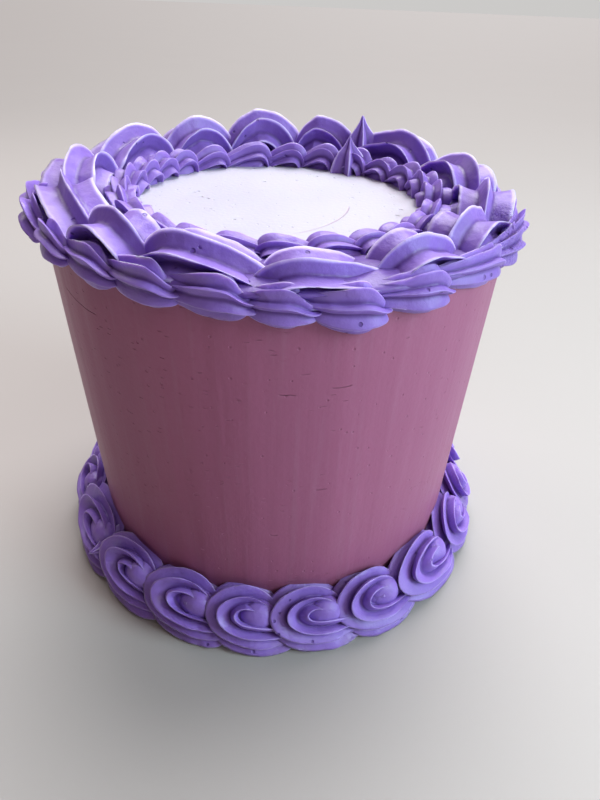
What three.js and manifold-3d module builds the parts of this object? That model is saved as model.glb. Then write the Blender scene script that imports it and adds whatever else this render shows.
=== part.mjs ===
// Tall round iced cake with piped icing: a smooth body, a crown of large shells round its
// top, a row of small shells inside the crown, a row of shells on the wall under the rim,
// and a row of looped swirls round the foot. Millimetres, +Z up, origin under the middle.
import * as THREE from 'three';
import { mergeVertices } from 'three/addons/utils/BufferGeometryUtils.js';
import Module from 'manifold-3d';

const wasm = await Module();
wasm.setup();

// Cake body
const topRadius = 101.5;
const baseRadius = 96;
const cakeHeight = 174;
const topEdgeRound = 4;
const baseEdgeRound = 1.5;
const cakeSides = 56;

// Space left between pieces that touch, and how much a cutting copy of a shell grows
const gap = 0.3;
const cutterGrowth = 0.4;

// Star nozzle: how deep the valleys go, and how far the inner side of the icing reaches
// where it rests on the cake and where it winds round the middle of a swirl
const valleyDepth = 0.4;
const restingReach = 0.6;
const windingReach = 0.9;

// Unevenness of hand piping: each size varies by up to this share of itself
const unevenness = 0.07;
const pipingSeed = 20;

// Crown of large shells on the top edge. Each angle is where a shell's head starts.
const crownStarts = [243, 265.5, 290, 313, 337, 362, 391, 423, 444, 469, 493, 523, 550, 580];
const crownRidges = 7;
const crownRadius = 89.2;
const crownHalfWidth = 12.4;
const crownHalfHeightFront = 9.2;
const crownHalfHeightBack = 12.4;
const crownLiftFront = -2.3;
const crownLiftBack = 1.6;
const crownRidgeTurn = 19;

// Row of small shells inside the crown
const innerCount = 28;
const innerRadius = 69;
const innerHalfWidth = 8;
const innerHalfHeight = 7.6;
const innerLift = 1;

// Row of shells on the wall under the rim. The angles are the joins seen at the front,
// where the row dips lower on the wall.
const rimFrontJoins = [236, 249, 263, 274, 287.5, 302, 320];
const rimBackCount = 20;
const rimHalfWidth = 8.6;
const rimHalfHeight = 4.6;
const rimSink = 0.2;
const rimDrop = 1;
const rimFrontDip = 4.5;
const rimFrontDipAngle = 285;
const rimFrontDipSpread = 20;

// The joined rows have half a star standing on a flat base: the star's ridges all round,
// the sides of it that stand out on each side of the middle, and the base's share of width
const rowRidges = 5;
const rowSidesOut = 2;
const rowBaseWidth = 0.85;

// Row of looped swirls round the foot. The angles are the joins seen from the front.
const swirlFrontJoins = [178, 191, 215, 234, 252, 267, 284, 301, 323, 341, 356];
const swirlBackCount = 10;
const swirlNominalSpan = 18;
const swirlRidges = 6;
const swirlRopeRadius = 8.5;
const swirlTilt = 44;
const swirlCentreRadius = 103.6;
const swirlCentreHeight = 14.8;
const swirlRidgeTurn = 15;

// Peaks where the nozzle was pulled away: one on the crown, one on the small inner row and
// one that points outward from the row at the foot
const crownPeak = { shell: 6, angle: 59, radius: 87, halfWidth: 7.5, height: 26 };
const innerPeak = { angle: 57, radius: 67, halfWidth: 6.5, height: 19 };
const footPeak = { swirl: 1, angle: 216, from: 99, to: 119.5, level: 14, halfWidth: 7 };
const peakSides = 5;

// A shell from head to tail: how far along, how high, how far the section leans back, its
// size. Heights and the head's distances are in half-heights of the section. The tail's
// distances are shares of the way from the shell's peak to its end.
const shellHead = [
  { along: 0.74, rise: -0.3, lean: 86, size: 0.76 },
  { along: 0.88, rise: 0.36, lean: 52, size: 0.9 },
  { along: 1.5, rise: 0.62, lean: 6, size: 1 },
];
const shellTail = [
  { share: 0.42, rise: 0.46, lean: -10, size: 0.95 },
  { share: 0.86, rise: -0.02, lean: -20, size: 0.76 },
  { share: 1.2, rise: -0.5, lean: -26, size: 0.4 },
];

// Sections of a small shell in a joined row, which starts again where it ends
const rowShell = [
  { share: 0.06, rise: 0.06, lean: 52, size: 0.8 },
  { share: 0.24, rise: 0.4, lean: 30, size: 1 },
  { share: 0.55, rise: 0.4, lean: 0, size: 1 },
  { share: 0.92, rise: 0.02, lean: -4, size: 0.6 },
];

// A swirl: the loop runs from its start by the middle, up along the wall and round, then
// its tail runs on under the next swirl. Distances are in rope radii.
const swirlLoop = [
  { turn: -14, out: 0.66, size: 0.62 },
  { turn: 40, out: 0.78, size: 0.84 },
  { turn: 96, out: 0.98, size: 1 },
  { turn: 150, out: 1.06, size: 1 },
  { turn: 204, out: 1.06, size: 1 },
  { turn: 256, out: 1.06, size: 1 },
];
const swirlTail = [
  { along: 0.95, down: 0.98, size: 0.92 },
  { along: 2.3, down: 0.9, size: 0.5 },
];

const icingMaterial = new THREE.MeshStandardMaterial({
  color: 0x8d76c4, roughness: 0.5, metalness: 0,
});
const cakeMaterial = new THREE.MeshStandardMaterial({
  color: 0xcda9cf, roughness: 0.55, metalness: 0,
});

const radians = THREE.MathUtils.degToRad;
const lerp = THREE.MathUtils.lerp;

// Repeatable random numbers from 0 to 1
function randomFrom(seed) {
  let state = seed;
  return () => {
    state = (state * 1664525 + 1013904223) % 4294967296;
    return state / 4294967296;
  };
}

const random = randomFrom(pipingSeed);

function uneven(value, share = unevenness) {
  return value * (1 + share * (2 * random() - 1));
}

function between(low, high) {
  return lerp(low, high, random());
}

// Share from 0 at the front of the cake to 1 at its back
function backShare(angle) {
  return (1 + Math.sin(radians(angle))) / 2;
}

function aroundCake(angle, radius, z) {
  return new THREE.Vector3(radius * Math.cos(angle), radius * Math.sin(angle), z);
}

// Radius of the cake's wall at this height
function wallRadius(z) {
  return lerp(baseRadius, topRadius, z / cakeHeight);
}

// Six times the volume inside the faces, below zero where they face inward
function signedVolume(corners, triangles) {
  const [a, b, c] = [new THREE.Vector3(), new THREE.Vector3(), new THREE.Vector3()];
  let sum = 0;
  for (let i = 0; i < triangles.length; i += 3) {
    a.fromArray(corners, 3 * triangles[i]);
    b.fromArray(corners, 3 * triangles[i + 1]);
    c.fromArray(corners, 3 * triangles[i + 2]);
    sum += a.dot(b.cross(c));
  }
  return sum;
}

// A closed mesh as a solid, its corners merged and its faces turned outward
function toSolid(geometry) {
  geometry.deleteAttribute('normal');
  geometry.deleteAttribute('uv');
  const merged = mergeVertices(geometry, 1e-4);
  const vertProperties = new Float32Array(merged.attributes.position.array);
  const triVerts = new Uint32Array(merged.index.array);
  if (signedVolume(vertProperties, triVerts) < 0) {
    triVerts.reverse();
  }
  return new wasm.Manifold(new wasm.Mesh({ numProp: 3, vertProperties, triVerts }));
}

// A solid as a geometry with flat faces
function toGeometry(solid) {
  const mesh = solid.getMesh();
  const geometry = new THREE.BufferGeometry();
  const corners = new THREE.BufferAttribute(new Float32Array(mesh.vertProperties), 3);
  geometry.setAttribute('position', corners);
  geometry.setIndex(new THREE.BufferAttribute(new Uint32Array(mesh.triVerts), 1));
  geometry.computeVertexNormals();
  return geometry;
}

// The largest piece of a solid, without the scraps that cutting leaves
function largestPiece(solid) {
  const pieces = solid.decompose();
  pieces.sort((a, b) => b.volume() - a.volume());
  return pieces[0];
}

// The star that the nozzle gives, and a grown one without valleys that cuts other icing
function starOf(ridges, ridgeTurn, innerReach) {
  return { ridges, ridgeTurn, innerReach, valley: valleyDepth, grow: 0 };
}

function grownStar(ridges, ridgeTurn, innerReach) {
  return { ridges, ridgeTurn, innerReach, valley: 0, grow: cutterGrowth };
}

// A corner of a star section, from the section's place x and y, the lean of its outer side,
// its half-height and its half-width. The side counts round the star from its outer side.
function starCorner(section, side, star) {
  const reach = side % 2 === 0 ? 1 : 1 - star.valley;
  const angle = Math.PI * side / star.ridges + radians(star.ridgeTurn);
  const inward = Math.cos(angle) < 0 ? star.innerReach : 1;
  const outward = (section.halfHeight * reach + star.grow) * inward * Math.cos(angle);
  const across = (section.halfWidth * reach + star.grow) * Math.sin(angle);
  const lean = radians(section.lean);
  return {
    x: section.x - outward * Math.sin(lean),
    y: section.y + outward * Math.cos(lean),
    across,
  };
}

// A closed rope of star section through the sections, which place() carries to the cake
function starRope(sections, star, place) {
  const spans = sections.length - 1;
  const rope = new THREE.CylinderGeometry(1, 1, 1, 2 * star.ridges, spans);
  const corners = rope.attributes.position;
  const corner = new THREE.Vector3();
  for (let i = 0; i < corners.count; i++) {
    corner.fromBufferAttribute(corners, i);
    const section = sections[Math.round((0.5 - corner.y) * spans)];
    const side = Math.round(Math.atan2(corner.x, corner.z) / Math.PI * star.ridges);
    const onAxis = Math.hypot(corner.x, corner.z) < 0.5;
    const point = onAxis ? { ...section, across: 0 } : starCorner(section, side, star);
    corner.copy(place(point.x, point.y, point.across));
    corners.setXYZ(i, corner.x, corner.y, corner.z);
  }
  return toSolid(rope);
}

// A corner of a half-star section: the star's outer sides, then the two ends of its base
function halfStarCorner(section, side, star) {
  if (Math.abs(side) <= rowSidesOut) {
    return starCorner(section, side, star);
  }
  const across = Math.sign(side) * rowBaseWidth * section.halfWidth;
  return { x: section.x, y: section.base, across };
}

// A rope of half-star section that closes on itself round the cake, through one shell after
// another. Each shell gives its own sections, star and place.
function starRing(shells) {
  const perShell = shells[0].sections.length;
  const sides = 2 * rowSidesOut + 3;
  const steps = shells.length * perShell;
  const ring = new THREE.TorusGeometry(2, 1, sides, steps);
  const corners = ring.attributes.position;
  const corner = new THREE.Vector3();
  for (let i = 0; i < corners.count; i++) {
    corner.fromBufferAttribute(corners, i);
    const turn = Math.atan2(corner.y, corner.x);
    const around = Math.atan2(corner.z, Math.hypot(corner.x, corner.y) - 2);
    const step = (Math.round(turn / (2 * Math.PI) * steps) + steps) % steps;
    const shell = shells[Math.floor(step / perShell)];
    const side = Math.round(around / (2 * Math.PI) * sides);
    const point = halfStarCorner(shell.sections[step % perShell], side, shell.star);
    corner.copy(shell.place(point.x, point.y, point.across));
    corners.setXYZ(i, corner.x, corner.y, corner.z);
  }
  return toSolid(ring);
}

// Cake body, or a copy grown on all sides and downward that cuts the icing clear of it
function cakeSolid(grow = 0, foot = 0) {
  const top = cakeHeight + grow;
  const edge = topEdgeRound;
  const profile = new THREE.Path();
  profile.moveTo(0, foot);
  profile.lineTo(baseRadius + grow - baseEdgeRound, foot);
  profile.lineTo(baseRadius + grow, foot + baseEdgeRound);
  profile.lineTo(topRadius + grow, top - edge);
  profile.lineTo(topRadius + grow - 0.3 * edge, top - 0.3 * edge);
  profile.lineTo(topRadius + grow - edge, top);
  profile.lineTo(0, top);
  const body = new THREE.LatheGeometry(profile.getPoints(1), cakeSides);
  body.rotateX(Math.PI / 2);
  return toSolid(body);
}

// Sections of a whole shell of this length and size, from its head to its tail
function shellSections({ length, halfHeight, halfWidth }) {
  const peak = shellHead[shellHead.length - 1].along * halfHeight;
  const sized = (x, { rise, lean, size }) => ({
    x, y: rise * halfHeight, lean, halfHeight: size * halfHeight, halfWidth: size * halfWidth,
  });
  return [
    ...shellHead.map((step) => sized(step.along * halfHeight, step)),
    ...shellTail.map((step) => sized(lerp(peak, length, step.share), step)),
  ];
}

// Sections of a shell in a joined row, on a base at this height
function rowSections({ length, halfHeight, halfWidth, base }) {
  return rowShell.map(({ share, rise, lean, size }) => ({
    x: share * length, y: rise * halfHeight, lean, base,
    halfHeight: size * halfHeight, halfWidth: size * halfWidth,
  }));
}

// Crown shell, piped anticlockwise, so its head covers the tail of the one before. The
// shells stand taller towards the back.
const crownSpecs = crownStarts.map((start, i) => {
  const next = i + 1 < crownStarts.length ? crownStarts[i + 1] : crownStarts[0] + 360;
  const back = backShare((start + next) / 2);
  return {
    start,
    length: radians(next - start) * crownRadius,
    halfHeight: uneven(lerp(crownHalfHeightFront, crownHalfHeightBack, back)),
    halfWidth: crownHalfWidth * between(1 - unevenness, 1),
    lift: lerp(crownLiftFront, crownLiftBack, back),
    ridgeTurn: crownRidgeTurn + between(-6, 6),
  };
});

function crownPlace(spec) {
  return (x, y, across) => aroundCake(radians(spec.start) + x / crownRadius,
    crownRadius + across, cakeHeight + spec.lift + y);
}

function crownShell(spec) {
  const star = starOf(crownRidges, spec.ridgeTurn, restingReach);
  return starRope(shellSections(spec), star, crownPlace(spec));
}

// The head of a crown shell without its valleys, to cut the tail that it covers
function crownHeadCutter(spec) {
  const star = grownStar(crownRidges, spec.ridgeTurn, restingReach);
  return starRope(shellSections(spec).slice(0, shellHead.length + 1), star, crownPlace(spec));
}

// Small inner shells in a joined row, piped the same way as the crown
function innerShellRing() {
  const length = radians(360 / innerCount) * innerRadius;
  const shells = [];
  for (let i = 0; i < innerCount; i++) {
    const start = radians(360 / innerCount * i);
    const spec = {
      length,
      halfHeight: uneven(innerHalfHeight),
      halfWidth: innerHalfWidth * between(1 - unevenness, 1),
      base: gap - innerLift,
    };
    shells.push({
      sections: rowSections(spec),
      star: starOf(rowRidges, between(-8, 8), restingReach),
      place: (x, y, across) => aroundCake(start + x / innerRadius,
        innerRadius + across, cakeHeight + innerLift + y),
    });
  }
  return starRing(shells);
}

// Joins seen from the front, and evenly spaced ones round the back
function joinsAround(frontJoins, backCount) {
  const last = frontJoins[frontJoins.length - 1];
  const step = (frontJoins[0] + 360 - last) / backCount;
  const joins = [...frontJoins];
  for (let i = 1; i <= backCount; i++) {
    joins.push(last + step * i);
  }
  return joins;
}

// How far the row under the rim sits below the top edge at this angle
function rimLevel(angle) {
  const away = (angle - rimFrontDipAngle) / rimFrontDipSpread;
  return -rimDrop - rimFrontDip * Math.exp(-away * away);
}

// Shells on the wall in a joined row, piped clockwise, so each head is at the higher angle
function rimShellRing() {
  const joins = joinsAround(rimFrontJoins, rimBackCount).reverse();
  const shells = joins.slice(0, -1).map((join, i) => {
    const spec = {
      length: radians(join - joins[i + 1]) * topRadius,
      halfHeight: uneven(rimHalfHeight),
      halfWidth: uneven(rimHalfWidth),
      base: gap + rimSink,
    };
    return {
      sections: rowSections(spec),
      star: starOf(rowRidges, between(-6, 6), restingReach),
      place: (x, y, across) => {
        const z = cakeHeight + rimLevel(join) + across;
        return aroundCake(radians(join) - x / topRadius, wallRadius(z) - rimSink + y, z);
      },
    };
  });
  return starRing(shells);
}

// Looped swirl at the foot: its tail runs under the swirl at the higher angle
const swirlJoins = joinsAround(swirlFrontJoins, swirlBackCount);
const swirlSpecs = swirlJoins.slice(1).map((end, i) => ({
  middle: (end + swirlJoins[i]) / 2,
  stretch: Math.sqrt((end - swirlJoins[i]) / swirlNominalSpan),
  rope: uneven(swirlRopeRadius, unevenness / 2),
  ridgeTurn: swirlRidgeTurn + between(-7, 7),
}));

function swirlSections({ rope, stretch }) {
  const loop = swirlLoop.map(({ turn, out, size }) => ({
    x: out * rope * stretch * Math.cos(radians(turn)),
    y: out * rope * Math.sin(radians(turn)),
    lean: turn - 90,
    halfHeight: size * rope,
    halfWidth: size * rope,
  }));
  const tail = swirlTail.map(({ along, down, size }) => ({
    x: along * rope * stretch, y: -down * rope, lean: 180,
    halfHeight: size * rope, halfWidth: size * rope,
  }));
  return [...loop, ...tail];
}

function swirlPlace(spec) {
  const tilt = radians(swirlTilt);
  return (x, y, across) => aroundCake(
    radians(spec.middle) + x / swirlCentreRadius,
    swirlCentreRadius - Math.sin(tilt) * y + Math.cos(tilt) * across,
    swirlCentreHeight + Math.cos(tilt) * y + Math.sin(tilt) * across);
}

function footSwirl(spec) {
  const star = starOf(swirlRidges, spec.ridgeTurn, windingReach);
  return starRope(swirlSections(spec), star, swirlPlace(spec));
}

function footSwirlCutter(spec) {
  const star = grownStar(swirlRidges, spec.ridgeTurn, windingReach);
  return starRope(swirlSections(spec).slice(1, -1), star, swirlPlace(spec));
}

// A peak pulled out of the icing, thinning to a point
function pulledPeak(length, halfWidth, place) {
  const steps = [
    { share: 0, size: 1 },
    { share: 0.35, size: 0.72 },
    { share: 0.68, size: 0.3 },
    { share: 1, size: 0.05 },
  ];
  const sections = steps.map(({ share, size }) => ({
    x: 0, y: share * length, lean: 90,
    halfHeight: size * halfWidth, halfWidth: size * halfWidth,
  }));
  return starRope(sections, starOf(peakSides, 0, 1), place);
}

function standingPeak({ angle, radius, halfWidth, height }) {
  return pulledPeak(height, halfWidth, (x, y, across) => aroundCake(
    radians(angle) + x / radius, radius + across, cakeHeight + gap + y));
}

function outwardPeak({ angle, from, to, level, halfWidth }) {
  return pulledPeak(to - from, halfWidth, (x, y, across) => aroundCake(
    radians(angle) + across / from, from + y, level + x));
}

function floorSpace() {
  const box = new THREE.BoxGeometry(4 * topRadius, 4 * topRadius, cakeHeight);
  box.translate(0, 0, cakeHeight / 2);
  return toSolid(box);
}

// Adds a piece to a group, its geometry measured from the group and turned to its own angle
function addPiece(parent, name, solid, material, turn = 0) {
  const geometry = toGeometry(solid);
  geometry.translate(0, 0, -parent.position.z);
  geometry.rotateZ(-radians(turn));
  const mesh = new THREE.Mesh(geometry, material.clone());
  mesh.name = name;
  mesh.rotation.z = radians(turn);
  parent.add(mesh);
}

function numbered(stem, number) {
  return `${stem}_${String(number).padStart(2, '0')}`;
}

const cakeCutter = cakeSolid(gap, -cakeHeight);
const aboveFloor = floorSpace();

const group = new THREE.Group();
const topIcing = new THREE.Group();
topIcing.position.z = cakeHeight;
const footIcing = new THREE.Group();
group.add(topIcing, footIcing);

addPiece(group, 'iced_cake', cakeSolid(), cakeMaterial);
addPiece(topIcing, 'rim_shell_ring', rimShellRing(), icingMaterial);
addPiece(topIcing, 'inner_shell_ring', innerShellRing().add(standingPeak(innerPeak)),
  icingMaterial);

crownSpecs.forEach((spec, i) => {
  let shell = crownShell(spec);
  if (i === crownPeak.shell) {
    shell = shell.add(standingPeak(crownPeak));
  }
  const nextHead = crownHeadCutter(crownSpecs[(i + 1) % crownSpecs.length]);
  shell = largestPiece(shell.subtract(nextHead).subtract(cakeCutter));
  addPiece(topIcing, numbered('crown_shell', i + 1), shell, icingMaterial, spec.start);
});

swirlSpecs.forEach((spec, i) => {
  let swirl = footSwirl(spec);
  if (i === footPeak.swirl) {
    swirl = swirl.add(outwardPeak(footPeak));
  }
  const next = footSwirlCutter(swirlSpecs[(i + 1) % swirlSpecs.length]);
  swirl = largestPiece(swirl.subtract(next).subtract(cakeCutter).intersect(aboveFloor));
  addPiece(footIcing, numbered('foot_swirl', i + 1), swirl, icingMaterial, spec.middle);
});

export default group;
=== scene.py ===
"""Tall round iced cake with violet buttercream piping, dressed on its CAD frame.

Metres, +Z up, origin under the middle of the cake's flat bottom. The shown side is -Y.
Each rope of icing is modelled straight along X with its outer side up, in a unit of its
own, and is then laid round the cake at its real size: along becomes the way round, and up
becomes out of what carries it. Angles round the cake are in degrees from +X.
"""

import logging
import math
import random
from dataclasses import dataclass, field
from enum import Enum
from typing import Callable, Sequence

import bmesh
import bpy
import numpy as np
from mathutils import Matrix, Vector


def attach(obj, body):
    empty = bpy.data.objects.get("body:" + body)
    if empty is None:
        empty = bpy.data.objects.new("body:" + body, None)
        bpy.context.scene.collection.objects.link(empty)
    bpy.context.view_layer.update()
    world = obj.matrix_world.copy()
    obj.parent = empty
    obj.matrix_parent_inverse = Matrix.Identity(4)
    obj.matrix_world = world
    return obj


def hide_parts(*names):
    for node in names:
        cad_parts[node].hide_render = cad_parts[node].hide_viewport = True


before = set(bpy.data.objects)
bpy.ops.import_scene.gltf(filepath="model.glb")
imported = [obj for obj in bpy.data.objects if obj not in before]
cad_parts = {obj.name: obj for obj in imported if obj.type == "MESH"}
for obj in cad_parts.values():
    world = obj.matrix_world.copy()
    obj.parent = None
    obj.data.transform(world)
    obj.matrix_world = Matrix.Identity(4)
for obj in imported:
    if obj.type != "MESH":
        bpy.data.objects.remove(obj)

log = logging.getLogger("cake")

Array = np.ndarray
Piece = bpy.types.Object
Material = bpy.types.Material
Socket = bpy.types.NodeSocket
Pair = tuple[float, float]
Triple = tuple[float, float, float]
Keys = tuple[tuple[float, float, float, float], ...]
Arrays = tuple[Array, Array, Array]
Place = Callable[[Array, Array, Array], Arrays]

MM = 0.001
CAKE_HEIGHT = 174 * MM
TOP_RADIUS = 101.5 * MM
BASE_RADIUS = 96 * MM
LOWEST = 0.3 * MM
SMOOTH_LEVELS = 2

ROPE_LENGTH = 4
PEAK_LENGTH = 3
RING_STEPS = 4
BLUNT_CREST = 0.7
FLANK_CREST = 0.4
LUMPS = (11 * MM, 1 * MM)
GRAIN = (4 * MM, 0.35 * MM)

MIDDLE_OF_NOISE = (0.3, 0.7)
FALLING = (1, 0)


class Piped(Enum):
    """Which way round the cake a row is piped, seen from above."""

    ANTICLOCKWISE = 1
    CLOCKWISE = -1


# Helpers for modelling by hand in code


def deselect_all() -> None:
    """Leaves nothing selected."""
    bpy.ops.object.select_all(action="DESELECT")


def pick(piece: Piece) -> None:
    """Selects one piece alone and makes it active.

    Args:
        piece: The piece.
    """
    deselect_all()
    piece.select_set(True)
    bpy.context.view_layer.objects.active = piece


def coordinates(piece: Piece) -> Array:
    """The places of a mesh's vertices.

    Args:
        piece: The piece whose mesh is read.

    Returns:
        One row for each vertex.
    """
    points = np.empty(len(piece.data.vertices) * 3)
    piece.data.vertices.foreach_get("co", points)
    return points.reshape(-1, 3)


def set_coordinates(piece: Piece, points: Array) -> None:
    """Moves the mesh's vertices to these places."""
    piece.data.vertices.foreach_set("co", points.reshape(-1))
    piece.data.update()


def own_copy(piece: Piece, name: str) -> Piece:
    """Copies a piece together with its mesh.

    Args:
        piece: The piece to copy.
        name: What the copy and its mesh are called.

    Returns:
        The copy.
    """
    copy = piece.copy()
    copy.data = piece.data.copy()
    copy.name = copy.data.name = name
    bpy.context.collection.objects.link(copy)
    return copy


def subdivided(piece: Piece, levels: int = SMOOTH_LEVELS) -> None:
    """Smooths the mesh with an applied Subdivision Surface.

    Args:
        piece: The piece.
        levels: How often each face is split.
    """
    pick(piece)
    smooth = piece.modifiers.new("smooth", "SUBSURF")
    smooth.levels = smooth.render_levels = levels
    bpy.ops.object.modifier_apply(modifier=smooth.name)


def roughened(piece: Piece, size: float, strength: float) -> None:
    """Gives the surface soft unevenness with an applied Displace.

    Args:
        piece: The piece.
        size: How wide the bumps are.
        strength: How far the surface moves in all.
    """
    texture = bpy.data.textures.new("unevenness", "CLOUDS")
    texture.noise_scale = size
    texture.noise_depth = 1
    pick(piece)
    relief = piece.modifiers.new("relief", "DISPLACE")
    relief.texture = texture
    relief.texture_coords = "LOCAL"
    relief.strength = strength
    bpy.ops.object.modifier_apply(modifier=relief.name)
    bpy.data.textures.remove(texture)


def smooth_shaded(piece: Piece) -> None:
    """Shades the whole piece smooth."""
    pick(piece)
    bpy.ops.object.shade_smooth()


def smoothstep(limits: Pair, x: Array | float) -> Array:
    """Rises softly from 0 at the lower limit to 1 at the upper one.

    Args:
        limits: Where the rise starts and ends.
        x: The values that are read.

    Returns:
        The share of the rise at each value.
    """
    low, high = limits
    t = np.clip((np.asarray(x, float) - low) / (high - low), 0, 1)
    return t * t * (3 - 2 * t)


def wall_radius(z: Array) -> Array:
    """The cake wall's radius at each height."""
    share = np.clip(np.asarray(z, float) / CAKE_HEIGHT, 0, 1)
    return BASE_RADIUS + (TOP_RADIUS - BASE_RADIUS) * share


# Finishes


@dataclass(frozen=True)
class Mark:
    """A thin curved mark in the smooth icing.

    It passes through its middle and curves round its centre. Reach is half its length and
    width is its half-width.
    """

    middle: Triple
    centre: Triple
    reach: float
    width: float


class Shading:
    """A material's node graph, filled one node at a time."""

    def __init__(self, name: str) -> None:
        """Starts an empty material with a Principled shader.

        Args:
            name: The material's name.
        """
        self.material = bpy.data.materials.new(name)
        self.material.use_nodes = True
        self.tree = self.material.node_tree
        self.tree.nodes.clear()
        output = self.node("ShaderNodeOutputMaterial")
        self.shader = self.node("ShaderNodeBsdfPrincipled")
        self.link(self.shader.outputs[0], output.inputs["Surface"])
        self.places = self.node("ShaderNodeTexCoord").outputs["Object"]

    def node(self, kind: str) -> bpy.types.Node:
        """A new node of this kind."""
        return self.tree.nodes.new(kind)

    def link(self, start: Socket, end: Socket) -> None:
        """Joins two sockets."""
        self.tree.links.new(start, end)

    def put(self, socket: Socket, value: object) -> None:
        """Links a socket into this one, or sets a plain value on it.

        Args:
            socket: The socket that takes the value.
            value: Another node's output, or a number or colour.
        """
        if isinstance(value, Socket):
            self.link(value, socket)
        else:
            socket.default_value = value

    def dress(self, inputs: dict[str, object]) -> None:
        """Gives the shader its values.

        Args:
            inputs: A socket or a plain value under each input's name.
        """
        for name, value in inputs.items():
            self.put(self.shader.inputs[name], value)

    def height(self) -> Socket:
        """How high above the floor the surface is."""
        split = self.node("ShaderNodeSeparateXYZ")
        self.link(self.places, split.inputs[0])
        return split.outputs["Z"]

    def stretched(self, scale: Triple) -> Socket:
        """The piece's own places, scaled on each axis.

        Args:
            scale: Pattern cells to the metre along X, Y and Z.

        Returns:
            The scaled places.
        """
        node = self.node("ShaderNodeMapping")
        node.inputs["Scale"].default_value = scale
        self.link(self.places, node.inputs["Vector"])
        return node.outputs[0]

    def noise(
        self, scale: float, detail: float = 2, places: Socket | None = None, rough: float = 0.5
    ) -> Socket:
        """A noise value from 0 to 1.

        Args:
            scale: Bumps in a metre.
            detail: How many finer layers it has.
            places: The places it reads, or None for the piece's own.
            rough: How strong the finer layers are.

        Returns:
            The value's socket.
        """
        node = self.node("ShaderNodeTexNoise")
        node.inputs["Scale"].default_value = scale
        node.inputs["Detail"].default_value = detail
        node.inputs["Roughness"].default_value = rough
        self.link(places or self.places, node.inputs["Vector"])
        return node.outputs["Fac"]

    def cells(self, scale: float, places: Socket | None = None) -> Socket:
        """Distance to the nearest of many scattered points.

        Args:
            scale: Points in a metre.
            places: The places it reads, or None for the piece's own.

        Returns:
            The distance in cells.
        """
        node = self.node("ShaderNodeTexVoronoi")
        node.inputs["Scale"].default_value = scale
        self.link(places or self.places, node.inputs["Vector"])
        return node.outputs["Distance"]

    def distance(self, point: Triple) -> Socket:
        """How far the surface is from a point.

        Args:
            point: The point.

        Returns:
            The distance in metres.
        """
        node = self.node("ShaderNodeVectorMath")
        node.operation = "DISTANCE"
        self.link(self.places, node.inputs[0])
        node.inputs[1].default_value = point
        return node.outputs["Value"]

    def near(self, point: Triple, limits: Pair) -> Socket:
        """1 up to the first distance from a point, and 0 beyond the second."""
        return self.ranged(self.distance(point), limits, FALLING)

    def scratch(self, mark: Mark) -> Socket:
        """A thin curved line that fades out at its ends.

        Args:
            mark: Where the line runs.

        Returns:
            1 on the line and 0 beside it.
        """
        radius = math.dist(mark.middle, mark.centre)
        off = self.maths("SUBTRACT", self.distance(mark.centre), radius)
        line = self.ranged(self.maths("ABSOLUTE", off, 0.0), (0, mark.width), FALLING)
        return self.maths("MULTIPLY", line, self.near(mark.middle, (0.7 * mark.reach, mark.reach)))

    def ranged(self, value: Socket, limits: Pair, results: Pair = (0, 1)) -> Socket:
        """Maps a value softly from one range to another, held at its ends.

        Args:
            value: The value that is read.
            limits: Where its range starts and ends.
            results: What the two limits become.

        Returns:
            The mapped value's socket.
        """
        node = self.node("ShaderNodeMapRange")
        node.interpolation_type = "SMOOTHSTEP"
        self.put(node.inputs["Value"], value)
        names = ("From Min", "From Max", "To Min", "To Max")
        for name, limit in zip(names, (*limits, *results)):
            node.inputs[name].default_value = limit
        return node.outputs["Result"]

    def maths(self, kind: str, a: Socket | float, b: Socket | float) -> Socket:
        """Works out one sum of two values.

        Args:
            kind: What is done with them, such as ADD, MULTIPLY or SUBTRACT.
            a: The first value.
            b: The second value.

        Returns:
            The result's socket.
        """
        node = self.node("ShaderNodeMath")
        node.operation = kind
        self.put(node.inputs[0], a)
        self.put(node.inputs[1], b)
        return node.outputs[0]

    def mixed(self, share: Socket, a: Socket | Triple, b: Socket | Triple) -> Socket:
        """Mixes two colours.

        Args:
            share: How much there is of the second colour.
            a: The first colour.
            b: The second colour.

        Returns:
            The mixed colour's socket.
        """
        node = self.node("ShaderNodeMix")
        node.data_type = "RGBA"
        self.put(node.inputs["Factor"], share)
        for socket, value in ((node.inputs[6], a), (node.inputs[7], b)):
            self.put(socket, (*value, 1) if isinstance(value, tuple) else value)
        return node.outputs[2]

    def clouded(self, pattern: Socket, colour: Triple, share: float) -> Socket:
        """A colour that a pattern darkens to this share of it."""
        darker = tuple(share * c for c in colour)
        return self.mixed(pattern, colour, darker)

    def attribute(self, name: str) -> Socket:
        """A value that the piece's mesh carries.

        Args:
            name: The attribute's name.

        Returns:
            The value's socket.
        """
        node = self.node("ShaderNodeAttribute")
        node.attribute_name = name
        return node.outputs["Fac"]

    def bump(self, layers: Sequence[tuple[Socket, float]]) -> None:
        """Gives the surface fine relief.

        Args:
            layers: A height socket and its depth in metres for each layer.
        """
        normal = None
        for height, depth in layers:
            node = self.node("ShaderNodeBump")
            node.inputs["Strength"].default_value = 1
            node.inputs["Distance"].default_value = depth
            self.link(height, node.inputs["Height"])
            if normal is not None:
                self.link(normal, node.inputs["Normal"])
            normal = node.outputs["Normal"]
        self.link(normal, self.shader.inputs["Normal"])


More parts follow.
